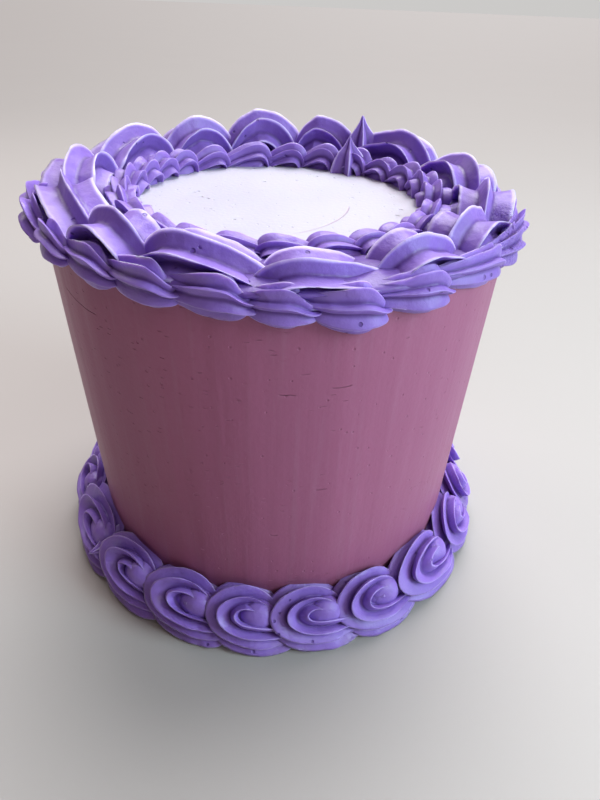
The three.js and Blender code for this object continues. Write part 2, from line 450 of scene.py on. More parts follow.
@dataclass(frozen=True)
class PipedIcing:
    """Violet buttercream from a star nozzle: satin, a little see-through, with air holes."""

    colour: Triple = (0.26, 0.15, 0.53)
    # Painted highlight: pale is laid on the ridge crests.
    pale: Triple = (0.52, 0.43, 0.8)
    # Painted shade: deep darkens the valleys between the ridges and the air holes.
    deep: Triple = (0.1, 0.04, 0.25)
    patch_scale: float = 26
    patch_share: float = 0.9
    crest_painted_highlight_limits: Pair = (0.76, 1)
    valley_painted_shade_limits: Pair = (0.02, 0.34)
    valley_painted_shade_share: float = 0.85
    hole_scale: float = 170
    hole_edge: Pair = (0.1, 0.16)
    few_scale: float = 60
    few_limits: Pair = (0.57, 0.61)
    # Painted shade: how much of the deep colour fills the air holes.
    hole_share: float = 0.8
    sheen_scale: float = 90
    roughness: Pair = (0.36, 0.5)
    glow: float = 0.35
    glow_spread: Triple = (1.0, 0.8, 1.2)
    glow_depth: float = 2.5 * MM
    shine: float = 0.4
    grain_scale: float = 420
    grain_depth: float = 0.3 * MM
    hole_depth: float = 0.6 * MM
    dry_at: Triple = (0.0925, -0.0465, 0.168)
    dry_reach: Pair = (14 * MM, 26 * MM)
    dry_scale: float = 330
    dry_depth: float = 2.2 * MM

    def material(self) -> Material:
        """Mixes the piped icing.

        Returns:
            The finished material.
        """
        s = Shading("piped_icing")
        holes = s.ranged(s.cells(self.hole_scale), self.hole_edge, FALLING)
        few = s.ranged(s.noise(self.few_scale, 1), self.few_limits)
        holes = s.maths("MULTIPLY", holes, few)
        s.dress(
            {
                "Base Color": self._tone(s, holes),
                "Roughness": s.ranged(s.noise(self.sheen_scale), MIDDLE_OF_NOISE, self.roughness),
                "Subsurface Weight": self.glow,
                "Subsurface Radius": self.glow_spread,
                "Subsurface Scale": self.glow_depth,
                "Specular IOR Level": self.shine,
            }
        )
        dry = s.noise(self.dry_scale, 4, rough=0.7)
        s.bump(
            [
                (s.noise(self.grain_scale, 3, rough=0.6), self.grain_depth),
                (s.maths("SUBTRACT", 1.0, holes), self.hole_depth),
                (s.maths("MULTIPLY", dry, s.near(self.dry_at, self.dry_reach)), self.dry_depth),
            ]
        )
        return s.material

    def _tone(self, s: Shading, holes: Socket) -> Socket:
        """The icing's colour, with a painted highlight on the crests and painted shade in the
        valleys and the air holes.

        Args:
            s: The material's graph.
            holes: 1 in the air holes.

        Returns:
            The colour's socket.
        """
        patches = s.ranged(s.noise(self.patch_scale, 3), MIDDLE_OF_NOISE)
        tone = s.clouded(patches, self.colour, self.patch_share)
        crest = s.attribute("crest")
        # Painted highlight on the ridge crests.
        tone = s.mixed(s.ranged(crest, self.crest_painted_highlight_limits), tone, self.pale)
        # Painted shade in the valleys between the ridges.
        tone = s.mixed(s.ranged(crest, self.valley_painted_shade_limits, (self.valley_painted_shade_share, 0)), tone, self.deep)
        # Painted shade in the air holes.
        return s.mixed(s.maths("MULTIPLY", holes, self.hole_share), tone, self.deep)


@dataclass(frozen=True)
class SmoothIcing:
    """Pale icing smoothed with a scraper: faint upright streaks, pin holes, a soft sheen. Its top is
    painted lighter as if lit and its wall darker as if in shade.
    """

    # Painted light: wall is the icing's colour darkened as if in shade, and top is the same icing
    # lightened as if lit.
    wall: Triple = (0.328, 0.104, 0.197)
    top: Triple = (0.49, 0.465, 0.545)
    painted_lit_top_limits: Pair = (CAKE_HEIGHT - 5 * MM, CAKE_HEIGHT)
    wall_limits: Pair = (CAKE_HEIGHT - 6 * MM, CAKE_HEIGHT - 1 * MM)
    band_cells: Triple = (38, 38, 3)
    band_share: float = 0.93
    streak_cells: Triple = (260, 260, 9)
    streak_limits: Pair = (0.5, 0.8)
    streak_share: float = 0.05
    streak_depth: float = 0.14 * MM
    ripple_cells: Triple = (50, 50, 2)
    ripple_depth: float = 0.8 * MM
    dash_cells: Triple = (110, 110, 620)
    dash_edge: Pair = (0.05, 0.13)
    few_scale: float = 38
    few_limits: Pair = (0.5, 0.56)
    mark_depth: float = 0.8 * MM
    pit_scale: float = 190
    pit_edge: Pair = (0.06, 0.12)
    pit_depth: float = 0.25 * MM
    grain_scale: float = 500
    grain_depth: float = 0.12 * MM
    # Painted shade: the scrape line on the top takes this share of the shaded wall colour.
    scrape_painted_shade_share: float = 0.35
    scrape_depth: float = 0.2 * MM
    roughness: Pair = (0.4, 0.52)
    glow: float = 0.3
    glow_spread: Triple = (1.2, 0.8, 1.0)
    glow_depth: float = 3 * MM
    shine: float = 0.25
    marks: tuple[Mark, ...] = (
        Mark((0.018, -0.097, 0.086), (0.018, -0.098, 0.095), 2.6 * MM, 0.3 * MM),
        Mark((-0.001, -0.098, 0.06), (-0.001, -0.098, 0.063), 2.0 * MM, 0.3 * MM),
        Mark((0.003, -0.1, 0.134), (0.003, -0.1, 0.150), 2.8 * MM, 0.25 * MM),
        Mark((0.023, -0.098, 0.136), (0.022, -0.098, 0.154), 4.2 * MM, 0.25 * MM),
        Mark((-0.075, -0.068, 0.1525), (-0.0686, -0.0741, 0.212), 12 * MM, 0.35 * MM),
    )
    scrape: Mark = Mark((0.0223, -0.0308, 0.174), (-0.0225, -0.0015, 0.174), 27 * MM, 0.7 * MM)

    def material(self) -> Material:
        """Mixes the smooth icing.

        Returns:
            The finished material.
        """
        s = Shading("smooth_icing")
        height = s.height()
        streaks = s.noise(1, 4, s.stretched(self.streak_cells), 0.6)
        bands = s.noise(1, 2, s.stretched(self.band_cells))
        tone = s.clouded(s.ranged(bands, MIDDLE_OF_NOISE), self.wall, self.band_share)
        tone = s.mixed(s.ranged(streaks, self.streak_limits, (0, self.streak_share)), tone, self.top)
        # Painted light: the top few millimetres take the lighter, lit colour.
        tone = s.mixed(s.ranged(height, self.painted_lit_top_limits), tone, self.top)
        scrape = s.scratch(self.scrape)
        s.dress(
            {
                # Painted shade along the scrape line.
                "Base Color": s.mixed(
                    s.maths("MULTIPLY", scrape, self.scrape_painted_shade_share), tone, self.wall
                ),
                "Roughness": s.ranged(bands, MIDDLE_OF_NOISE, self.roughness),
                "Subsurface Weight": self.glow,
                "Subsurface Radius": self.glow_spread,
                "Subsurface Scale": self.glow_depth,
                "Specular IOR Level": self.shine,
            }
        )
        on_wall = s.ranged(height, self.wall_limits, FALLING)
        ripples = s.noise(1, 3, s.stretched(self.ripple_cells))
        s.bump(
            [
                (s.maths("SUBTRACT", 1.0, scrape), self.scrape_depth),
                (s.maths("MULTIPLY", ripples, on_wall), self.ripple_depth),
                (s.maths("MULTIPLY", streaks, on_wall), self.streak_depth),
                (s.noise(self.grain_scale), self.grain_depth),
                (s.ranged(s.cells(self.pit_scale), self.pit_edge), self.pit_depth),
                (self._marked(s), self.mark_depth),
            ]
        )
        return s.material

    def _marked(self, s: Shading) -> Socket:
        """Small level dashes here and there, and the marks that the scraper left.

        Args:
            s: The material's graph.

        Returns:
            A height that is lower in the dashes and marks.
        """
        dashes = s.ranged(s.cells(1, s.stretched(self.dash_cells)), self.dash_edge)
        kept_plain = s.ranged(s.noise(self.few_scale, 1), self.few_limits, FALLING)
        surface = s.maths("MAXIMUM", dashes, kept_plain)
        for mark in self.marks:
            surface = s.maths("SUBTRACT", surface, s.scratch(mark))
        return surface


@dataclass(frozen=True)
class StudioFloor:
    """Plain pale floor."""

    colour: Triple = (0.39, 0.362, 0.345)
    cloud_scale: float = 3
    cloud_share: float = 0.97
    roughness: float = 0.7

    def material(self) -> Material:
        """Mixes the floor's paint.

        Returns:
            The finished material.
        """
        s = Shading("studio_floor")
        tone = s.clouded(s.noise(self.cloud_scale), self.colour, self.cloud_share)
        s.dress({"Base Color": tone, "Roughness": self.roughness})
        return s.material


# Ropes of icing


@dataclass(frozen=True)
class Nozzle:
    """Star nozzle: its ridges, how far in its valleys and flanks lie, and how sharp it is."""

    ridges: int
    valley: float
    flank: float
    sharpness: float = 1


@dataclass(frozen=True)
class Section:
    """One cut across a rope of icing.

    Along and rise give its middle, lean is how far its outer side leans back to the start
    in degrees, and size is its half-height. A row of keys holds the same four numbers.
    Lengths are in the rope's own unit.
    """

    along: float
    rise: float
    lean: float
    size: float


def smooth_sections(keys: Sequence[Sequence[float]], count: int) -> list[Section]:
    """Sections at even steps along a smooth line through the keys.

    Args:
        keys: The sections that the rope goes through, one row each.
        count: How many sections come back.

    Returns:
        The sections from the first key to the last.
    """
    table = np.array(keys, float)
    padded = np.vstack([2 * table[0] - table[1], table, 2 * table[-1] - table[-2]])
    found = []
    for step in np.linspace(0, len(keys) - 1, count):
        i = min(int(step), len(keys) - 2)
        t = step - i
        a, b, c, d = padded[i : i + 4]
        row = b + 0.5 * t * (c - a + t * (2 * a - 5 * b + 4 * c - d + t * (3 * (b - c) + d - a)))
        found.append(Section(*row))
    return found


@dataclass
class StarRope:
    """Rope of icing from a star nozzle, modelled straight with its outer side up."""

    name: str
    sections: list[Section]
    nozzle: Nozzle
    turn: float

    def model(self) -> Piece:
        """Adds the nozzle's star, extrudes it through the sections and creases its ridges.

        Returns:
            The straight rope.
        """
        rope = self._star()
        bpy.ops.object.mode_set(mode="EDIT")
        bpy.ops.mesh.select_all(action="SELECT")
        for last, here in zip(self.sections, self.sections[1:]):
            self._extrude(last, here)
        bpy.ops.mesh.select_all(action="SELECT")
        bpy.ops.mesh.normals_make_consistent(inside=False)
        self._crease(rope)
        bpy.ops.object.mode_set(mode="OBJECT")
        return rope

    def _star(self) -> Piece:
        """Makes the first section: a filled circle with its valleys pulled in.

        Returns:
            The star, which carries how near each point is to a crest.
        """
        first = self.sections[0]
        count = self.nozzle.ridges * RING_STEPS
        deselect_all()
        bpy.ops.mesh.primitive_circle_add(
            vertices=count, radius=first.size, fill_type="NGON", rotation=(0, math.pi / 2, 0)
        )
        star = bpy.context.object
        star.name = star.data.name = self.name
        bpy.ops.object.transform_apply(location=True, rotation=True, scale=True)
        points = coordinates(star)
        angles = np.arctan2(points[:, 1], points[:, 2])
        steps = np.round(angles / (2 * math.pi) * count).astype(int) % RING_STEPS
        # The crest value sharpens the ridges and also places the painted highlight on crests and
        # painted shade in valleys.
        crest = star.data.attributes.new("crest", "FLOAT", "POINT")
        top = BLUNT_CREST + (1 - BLUNT_CREST) * self.nozzle.sharpness
        crest.data.foreach_set("value", np.array([top, FLANK_CREST, 0, FLANK_CREST])[steps])
        bpy.ops.object.mode_set(mode="EDIT")
        flank, valley = self.nozzle.flank, self.nozzle.valley
        for step, reach in ((1, flank), (2, valley), (3, flank)):
            self._select(star, steps == step)
            bpy.ops.transform.resize(value=(reach,) * 3, center_override=(0, 0, 0))
        bpy.ops.mesh.select_all(action="SELECT")
        self._rotate(-self.turn, "X", (0, 0, 0))
        centre = (first.along, 0, first.rise)
        bpy.ops.transform.translate(value=centre)
        self._rotate(-first.lean, "Y", centre)
        bpy.ops.object.mode_set(mode="OBJECT")
        return star

    @staticmethod
    def _select(star: Piece, mask: Array) -> None:
        """Selects some vertices in edit mode, and no others.

        Args:
            star: The piece in edit mode.
            mask: True for each vertex to select.
        """
        cage = bmesh.from_edit_mesh(star.data)
        cage.verts.ensure_lookup_table()
        for face in cage.faces:
            face.select_set(False)
        for vert, on in zip(cage.verts, mask):
            vert.select_set(bool(on))
        bmesh.update_edit_mesh(star.data)

    @staticmethod
    def _rotate(degrees: float, axis: str, centre: Triple) -> None:
        """Turns the selection, unless the angle is too small for the operator.

        Args:
            degrees: The angle. With no window the operator turns the other way.
            axis: X or Y.
            centre: What the selection turns about.
        """
        if abs(degrees) > 1e-6:
            bpy.ops.transform.rotate(
                value=-math.radians(degrees), orient_axis=axis, center_override=centre
            )

    def _extrude(self, last: Section, here: Section) -> None:
        """Extrudes the rope's end from one section to the next.

        Args:
            last: The section that the end is at.
            here: The section that it goes to.
        """
        centre = (here.along, 0, here.rise)
        move = (here.along - last.along, 0, here.rise - last.rise)
        bpy.ops.mesh.extrude_region_move(TRANSFORM_OT_translate={"value": move})
        self._rotate(-(here.lean - last.lean), "Y", centre)
        bpy.ops.transform.resize(value=(here.size / last.size,) * 3, center_override=centre)

    def _crease(self, rope: Piece) -> None:
        """Sharpens the ridges, which run from crest to crest of neighbouring sections.

        Args:
            rope: The rope in edit mode.
        """
        cage = bmesh.from_edit_mesh(rope.data)
        layer = cage.verts.layers.float["crest"]
        for face in cage.faces:
            face.select_set(False)
        for edge in cage.edges:
            edge.select_set(all(v[layer] > BLUNT_CREST for v in edge.verts))
        bmesh.update_edit_mesh(rope.data)
        bpy.ops.transform.edge_crease(value=self.nozzle.sharpness)


def laid(rope: Piece, name: str, place: Place) -> Piece:
    """A copy of a straight rope, laid round the cake, smoothed and made a little uneven.

    Args:
        rope: The straight rope.
        name: The new piece's name.
        place: Carries along, across and rise to the cake.

    Returns:
        The laid piece.
    """
    piece = own_copy(rope, name)
    points = coordinates(piece)
    set_coordinates(piece, np.column_stack(place(*points.T)))
    subdivided(piece)
    roughened(piece, *LUMPS)
    roughened(piece, *GRAIN)
    points = coordinates(piece)
    points[:, 2] = np.maximum(points[:, 2], 0)
    set_coordinates(piece, points)
    smooth_shaded(piece)
    return piece


def laid_row(ropes: Sequence[Piece], name: str, places: Sequence[Place]) -> list[Piece]:
    """Lays the ropes by turns at every place of a row, and removes the straight ones.

    Args:
        ropes: The straight ropes.
        name: What the pieces are called before their number.
        places: Where each piece goes.

    Returns:
        The laid pieces in order.
    """
    pieces = [
        laid(ropes[i % len(ropes)], f"{name}_{i + 1:02d}", place)
        for i, place in enumerate(places)
    ]
    for rope in ropes:
        bpy.data.objects.remove(rope)
    return pieces


def round_cake(angle: Array, radius: Array, z: Array) -> Arrays:
    """The places at this angle in radians, radius and height."""
    return radius * np.cos(angle), radius * np.sin(angle), z


def twisted(across: Array, rise: Array, degrees: Array | float) -> tuple[Array, Array]:
    """Turns points a little about the rope's length.

    Args:
        across: How far across the rope they lie.
        rise: How high in the rope they lie.
        degrees: How far they turn.

    Returns:
        The turned across and rise.
    """
    turn = np.radians(degrees)
    return (
        across * np.cos(turn) + rise * np.sin(turn),
        rise * np.cos(turn) - across * np.sin(turn),
    )


def run_along(along: Array, head_end: float, unit: float, length: float) -> Array:
    """How far along its row a rope's point lies.

    Args:
        along: Where it lies in the straight rope.
        head_end: Where the head ends there. The head keeps its size.
        unit: The real size of the rope's unit in the head.
        length: The real length of the rope, which its tail fills.

    Returns:
        The distance from the row's join.
    """
    stretch = (length - head_end * unit) / (ROPE_LENGTH - head_end)
    return np.where(along < head_end, along * unit, head_end * unit + (along - head_end) * stretch)


def whole_row(front: tuple[float, ...], back_count: int) -> tuple[float, ...]:
    """Joins seen at the front, and evenly spaced ones round the back.

    Args:
        front: The angles of the joins that show.
        back_count: How many pieces are round the back.

    Returns:
        The angles of all the joins.
    """
    step = (front[0] + 360 - front[-1]) / back_count
    return (*front, *(front[-1] + step * (i + 1) for i in range(back_count - 1)))


def spans_between(joins: Sequence[float]) -> list[Pair]:
    """The angles from each join to the next, right round the cake."""
    closed = [*joins, joins[0] + 360]
    return list(zip(closed, closed[1:]))


# The cake's parts


@dataclass
class IcedCake:
    """The cake's body, a little wider at the top, with a rounded top edge.

    A wave is a row of its height, its turns round the cake, how far it turns in a metre of
    height, and where it starts, all but the first two in radians.
    """

    sides: int = 112
    wall_cuts: int = 30
    top_rings: int = 9
    edge_inset: float = 1.8 * MM
    unevenness: float = 0.4 * MM
    waves: Keys = ((0.35, 3, 14, 0), (0.25, 7, -23, 1), (0.12, 31, 9, 0), (0.08, 57, -6, 0))
    flat_below: float = 0.6 * MM

    def build(self) -> Piece:
        """Models the body from a cylinder.

        Returns:
            The body.
        """
        deselect_all()
        bpy.ops.mesh.primitive_cylinder_add(
            vertices=self.sides,
            radius=TOP_RADIUS,
            depth=CAKE_HEIGHT,
            location=(0, 0, CAKE_HEIGHT / 2),
        )
        body = bpy.context.object
        body.name = body.data.name = "iced_body"
        bpy.ops.object.transform_apply(location=True, rotation=True, scale=True)
        bpy.ops.object.mode_set(mode="EDIT")
        bpy.ops.mesh.select_all(action="DESELECT")
        self._select_upright_edges(body)
        bpy.ops.mesh.subdivide(number_cuts=self.wall_cuts)
        self._select_top(body)
        bpy.ops.mesh.inset(thickness=self.edge_inset)
        for _ in range(self.top_rings):
            bpy.ops.mesh.inset(thickness=TOP_RADIUS / (self.top_rings + 1))
        bpy.ops.object.mode_set(mode="OBJECT")
        points = coordinates(body)
        wall = np.hypot(points[:, 0], points[:, 1]) > TOP_RADIUS - self.edge_inset / 2
        points[wall, :2] *= (wall_radius(points[wall, 2]) / TOP_RADIUS)[:, None]
        set_coordinates(body, points)
        subdivided(body)
        self._settle(body)
        smooth_shaded(body)
        return body

    @staticmethod
    def _select_upright_edges(body: Piece) -> None:
        """Selects the edges that run from the bottom to the top.

        Args:
            body: The cylinder in edit mode.
        """
        bpy.ops.mesh.select_mode(type="EDGE")
        cage = bmesh.from_edit_mesh(body.data)
        for edge in cage.edges:
            low, high = sorted(vert.co.z for vert in edge.verts)
            edge.select_set(high - low > CAKE_HEIGHT / 2)
        bmesh.update_edit_mesh(body.data)

    @staticmethod
    def _select_top(body: Piece) -> None:
        """Selects the face that looks up.

        Args:
            body: The cylinder in edit mode.
        """
        bpy.ops.mesh.select_mode(type="FACE")
        cage = bmesh.from_edit_mesh(body.data)
        cage.normal_update()
        for face in cage.faces:
            face.select_set(face.normal.z > 0.9)
        bmesh.update_edit_mesh(body.data)

    def _settle(self, body: Piece) -> None:
        """Gives the icing the slow unevenness of a hand-held scraper, and a flat bottom.

        Args:
            body: The smoothed body.
        """
        points = coordinates(body)
        angle = np.arctan2(points[:, 1], points[:, 0])
        z = points[:, 2]
        wave = 0
        for tall, turns, slope, start in self.waves:
            wave = wave + tall * np.sin(turns * angle + slope * z + start)
        share = 1 - (1 + wave) * self.unevenness / TOP_RADIUS
        points[:, :2] *= share[:, None]
        points[z < self.flat_below, 2] = 0
        set_coordinates(body, points)


@dataclass(frozen=True)
class CrownShell:
    """One large shell of the crown.

    Start is its angle and height a share of the usual one. Lift and drift move it up and
    outward, and twist turns it about its length, or is left to chance at 0.
    """

    start: float
    height: float = 1
    lift: float = 0
    drift: float = 0
    twist: float = 0


@dataclass
class CrownRow:
    """Large shells on the cake's top edge, each head over the tail of the one before.

    They are lower at the front than at the back. Towards its end a shell loses its twist
    and spreads.
    """

    shells: tuple[CrownShell, ...] = (
        CrownShell(240, twist=3),
        CrownShell(265.5, 0.96, lift=-2.7 * MM, drift=1.5 * MM, twist=16),
        CrownShell(291.5, lift=-0.6 * MM, twist=4),
        CrownShell(313),
        CrownShell(337),
        CrownShell(362),
        CrownShell(391),
        CrownShell(423),
        CrownShell(444, 1.12),
        CrownShell(469),
        CrownShell(493),
        CrownShell(523),
        CrownShell(550),
        CrownShell(580),
    )
    radius: float = 89.2 * MM
    half_width: float = 14 * MM
    half_height_front: float = 9.9 * MM
    half_height_back: float = 12.8 * MM
    lift_front: float = -2.8 * MM
    lift_back: float = 1.6 * MM
    nozzle: Nozzle = Nozzle(7, 0.48, 0.61)
    turns: tuple[float, ...] = (2, 5, 9)
    steps: int = 24
    head_end: float = 1.6
    keys: Keys = (
        (0.6, -0.85, 112, 0.55),
        (0.52, -0.35, 90, 0.86),
        (0.72, 0.2, 62, 0.98),
        (1.1, 0.52, 34, 1.04),
        (1.6, 0.62, 8, 1.04),
        (2.08, 0.52, -10, 1.0),
        (2.8, 0.38, -18, 0.94),
        (3.52, 0.08, -28, 0.84),
        (4.08, -0.24, -42, 0.68),
        (4.52, -0.66, -56, 0.44),
    )
    height_chance: Pair = (0.96, 1.04)
    width_chance: Pair = (0.97, 1.03)
    twist_chance: Pair = (-5, 5)
    tail_limits: Pair = (0.45, 1.15)
    tail_untwist: float = 0.9
    tail_spread: float = 0.35
    rng: random.Random = field(default_factory=lambda: random.Random(31))

    def build(self) -> list[Piece]:
        """Models a few shells and lays a copy at each place.

        Returns:
            The crown's shells.
        """
        sections = smooth_sections(self.keys, self.steps)
        ropes = [StarRope("crown_rope", sections, self.nozzle, turn).model() for turn in self.turns]
        places = []
        for i, shell in enumerate(self.shells):
            following = self.shells[(i + 1) % len(self.shells)].start
            span = (following - shell.start) % 360
            places.append(self._place(shell, math.radians(span) * self.radius))
        return laid_row(ropes, "crown_swag", places)

    def _place(self, shell: CrownShell, length: float) -> Place:
        """Where a shell's points go on the cake.

        Args:
            shell: The shell.
            length: How far it is to the next shell's start.

        Returns:
            The function that carries the straight rope there.
        """
        back = (1 + math.sin(math.radians(shell.start))) / 2
        tall = self.half_height_front + (self.half_height_back - self.half_height_front) * back
        tall *= shell.height * self.rng.uniform(*self.height_chance)
        lift = self.lift_front + (self.lift_back - self.lift_front) * back + shell.lift
        wide = self.half_width * self.rng.uniform(*self.width_chance)
        twist = shell.twist or self.rng.uniform(*self.twist_chance)

        def place(along: Array, across: Array, rise: Array) -> Arrays:
            """Lays these points on the cake's top edge."""
            x = run_along(along, self.head_end, tall, length)
            tail = smoothstep(self.tail_limits, x / length)
            out, up = twisted(across, rise, twist * (1 - self.tail_untwist * tail))
            radius = self.radius + out * wide * (1 + self.tail_spread * tail) + shell.drift * tail
            angle = math.radians(shell.start) + x / self.radius
            return round_cake(angle, radius, CAKE_HEIGHT + lift + up * tall)

        return place


@dataclass
class CrownBed:
    """Low band of icing between the crown's shells, seen only in the gaps."""

    radius: float = 89 * MM
    half_width: float = 15.5 * MM
    half_height: float = 3 * MM
    sink: float = 0.9 * MM
    sides: int = 96
    section_sides: int = 14
    lumps: Pair = (9 * MM, 1.6 * MM)
    grain: Pair = (3 * MM, 0.8 * MM)
    # Painted shade: this low crest value darkens the whole band with the valleys' deep colour.
    crest: float = 0.1

    def build(self) -> Piece:
        """Models the band from a flattened torus.

        Returns:
            The band.
        """
        deselect_all()
        bpy.ops.mesh.primitive_torus_add(
            major_segments=self.sides,
            minor_segments=self.section_sides,
            major_radius=self.radius,
            minor_radius=self.half_width,
            location=(0, 0, CAKE_HEIGHT - self.sink),
        )
        band = bpy.context.object
        band.name = band.data.name = "crown_bed"
        band.scale.z = self.half_height / self.half_width
        bpy.ops.object.transform_apply(location=True, rotation=True, scale=True)
        subdivided(band, 1)
        roughened(band, *self.lumps)
        roughened(band, *self.grain)
        # Painted shade over the whole band.
        crest = band.data.attributes.new("crest", "FLOAT", "POINT")
        crest.data.foreach_set("value", [self.crest] * len(band.data.vertices))
        smooth_shaded(band)
        return band


@dataclass
class SmallRow:
    """A row of small shells all round the cake.

    Head is the real size of the rope's unit in a shell's head, and covered_from is where
    in the straight rope the next shell's head begins to cover the tail.
    """

    name: str
    joins: tuple[float, ...]
    way: Piped
    radius: float
    half_width: float
    half_height: float
    head: float
    nozzle: Nozzle
    turns: Pair
    keys: Keys
    seed: int
    steps: int = 12
    head_end: float = 1
    covered_from: float = 3.4
    size_chance: Pair = (0.92, 1.08)
    twist_chance: Pair = (-9, 9)

    def build(self) -> list[Piece]:
        """Models two shells and lays copies of them round the cake.

        Returns:
            The row's shells.
        """
        rng = random.Random(self.seed)
        sections = smooth_sections(self.keys, self.steps)
        ropes = [StarRope("small_rope", sections, self.nozzle, turn).model() for turn in self.turns]
        places = []
        for start, end in self._spans():
            size = rng.uniform(*self.size_chance)
            places.append(self._place(start, end, size, rng.uniform(*self.twist_chance)))
        return laid_row(ropes, self.name, places)

    def _spans(self) -> list[Pair]:
        """Where each shell's head and tail are.

        Returns:
            The angle of each head and the angle of its tail.
        """
        spans = spans_between(self.joins)
        if self.way is Piped.CLOCKWISE:
            spans = [(end, start) for start, end in spans]
        return spans

    def _run(self, along: Array, length: float) -> Array:
        """How far along the row a point is, when heads are this length apart."""
        whole = length * ROPE_LENGTH / self.covered_from
        return run_along(along, self.head_end, self.head, whole)

    def _place(self, start: float, end: float, size: float, twist: float) -> Place:
        """Where one shell's points go; each kind of row has its own.

        Args:
            start: The angle of its head.
            end: The angle of its tail.
            size: Its share of the usual height and width.
            twist: How far it is turned about its length.

        Returns:
            The function that carries the straight rope there.
        """
        raise NotImplementedError


@dataclass
class InnerRow(SmallRow):
    """Small shells on the top, just inside the crown, and lower at the front."""

    name: str = "inner_curl"
    joins: tuple[float, ...] = (
        *(-6, 8, 20, 36, 50, 66, 81, 97, 117, 133, 145, 157, 169, 182, 195),
        *(209, 223, 237, 251, 266, 281, 295, 308, 321, 335),
    )
    way: Piped = Piped.ANTICLOCKWISE
    radius: float = 69 * MM
    half_width: float = 8 * MM
    half_height: float = 7.6 * MM
    head: float = 5 * MM
    nozzle: Nozzle = Nozzle(7, 0.5, 0.76, 0.55)
    turns: Pair = (10, 24)
    keys: Keys = (
        (0.1, -0.9, 104, 0.5),
        (-0.1, -0.4, 86, 0.8),
        (0.0, 0.08, 60, 0.96),
        (0.38, 0.36, 34, 1.04),
        (1.0, 0.42, 10, 1.04),
        (1.8, 0.28, -6, 0.93),
        (2.6, 0.03, -12, 0.78),
        (3.3, -0.2, -14, 0.6),
        (4.0, -0.48, -14, 0.36),
    )
    seed: int = 5
    lift: float = 1 * MM
    front_share: float = 0.55
    front_limits: Pair = (-0.95, 0)

    def _place(self, start: float, end: float, size: float, twist: float) -> Place:
        """Lays a shell flat on the top.

        Args:
            start: The angle of its head.
            end: The angle of its tail.
            size: Its share of the usual height and width.
            twist: How far it is turned about its length.

        Returns:
            The function that carries the straight rope there.
        """
        length = math.radians(end - start) * self.radius
        back = float(smoothstep(self.front_limits, math.sin(math.radians(start))))
        tall = self.half_height * size * (self.front_share + (1 - self.front_share) * back)

        def place(along: Array, across: Array, rise: Array) -> Arrays:
            """Lays these points on the cake's top."""
            angle = math.radians(start) + self._run(along, length) / self.radius
            out, up = twisted(across, rise, twist)
            z = CAKE_HEIGHT + self.lift + up * tall
            return round_cake(angle, self.radius + out * self.half_width * size, z)

        return place


@dataclass
class RimRow(SmallRow):
    """Shells on the wall under the top edge.

    They dip at one place at the front. At another they are turned up, and are larger and
    sit higher there. Each head hangs a little below its tail.
    """

    name: str = "rim_swag"
    joins: tuple[float, ...] = whole_row((236, 249, 263, 274, 287.5, 302, 320), 20)
    way: Piped = Piped.CLOCKWISE
    radius: float = TOP_RADIUS
    half_width: float = 8.6 * MM
    half_height: float = 4.8 * MM
    head: float = 6 * MM
    nozzle: Nozzle = Nozzle(7, 0.4, 0.74, 0.5)
    turns: Pair = (6, 18)
    keys: Keys = (
        (-0.4, -0.15, 72, 0.5),
        (-0.36, 0.1, 64, 0.8),
        (-0.14, 0.28, 52, 0.98),
        (0.34, 0.4, 32, 1.04),
        (1.0, 0.42, 10, 1.05),
        (1.8, 0.26, -6, 0.93),
        (2.6, -0.03, -12, 0.74),
        (3.3, -0.32, -14, 0.54),
        (4.0, -0.66, -14, 0.32),
    )
    seed: int = 9
    drop: float = 1 * MM
    dip: float = 4.5 * MM
    dip_angle: float = 285
    dip_spread: float = 20
    turned_up: float = 26
    turned_angle: float = 206
    turned_spread: float = 24
    turned_growth: float = 0.25
    turned_lift: float = 2.5 * MM
    hang: float = 2.8 * MM
    hang_slant: float = 4 * MM
    hang_limits: Pair = (-0.5, 0.6)

    def _place(self, start: float, end: float, size: float, twist: float) -> Place:
        """Lays a shell against the wall.

        Args:
            start: The angle of its head.
            end: The angle of its tail.
            size: Its share of the usual height and width.
            twist: How far it is turned about its length.

        Returns:
            The function that carries the straight rope there.
        """
        length = math.radians(start - end) * self.radius
        away = (start - self.dip_angle) / self.dip_spread
        off = ((start - self.turned_angle + 180) % 360 - 180) / self.turned_spread
        turned = math.exp(-off * off)
        level = CAKE_HEIGHT - self.drop - self.dip * math.exp(-away * away)
        level += self.turned_lift * turned
        tall = self.half_height * size * (1 + self.turned_growth * turned)
        twist += self.turned_up * turned

        def place(along: Array, across: Array, rise: Array) -> Arrays:
            """Lays these points on the cake's wall."""
            angle = math.radians(start) - self._run(along, length) / self.radius
            side, out = twisted(across, rise, twist)
            hang = smoothstep(self.hang_limits, -along) * (self.hang + self.hang_slant * side)
            z = level + side * self.half_width * size - hang
            return round_cake(angle, wall_radius(z) + out * tall, z)

        return place


